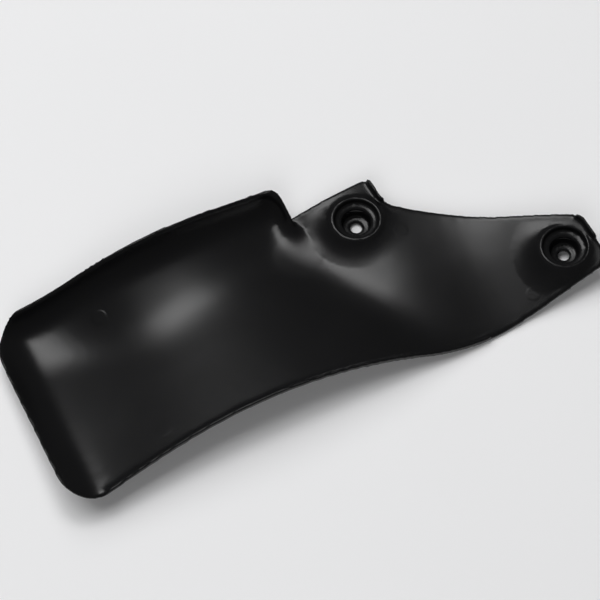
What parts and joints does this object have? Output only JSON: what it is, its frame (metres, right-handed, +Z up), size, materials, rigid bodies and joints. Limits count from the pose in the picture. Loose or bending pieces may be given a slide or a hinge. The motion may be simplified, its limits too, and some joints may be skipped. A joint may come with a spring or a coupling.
{
  "type": "motorcycle shock mud plate",
  "caption": "Arched black plastic mud plate that bolts between rear wheel and shock absorber, with a turned-up wall, a flared end, and sunk bolt wells on an ear and an arm.",
  "frame": {"origin": "axis of the ear's bolt hole, on the seat under its boss", "axes": "+X along the plate from the flap to the arm, +Y across it towards the turned-up wall, +Z up along both bolts"},
  "size_m": [0.3508, 0.1493, 0.0317],
  "materials": {
    "black_polypropylene": "satin"
  },
  "bodies": {
    "root": {"mud_plate": "black_polypropylene"}
  },
  "joints": []
}
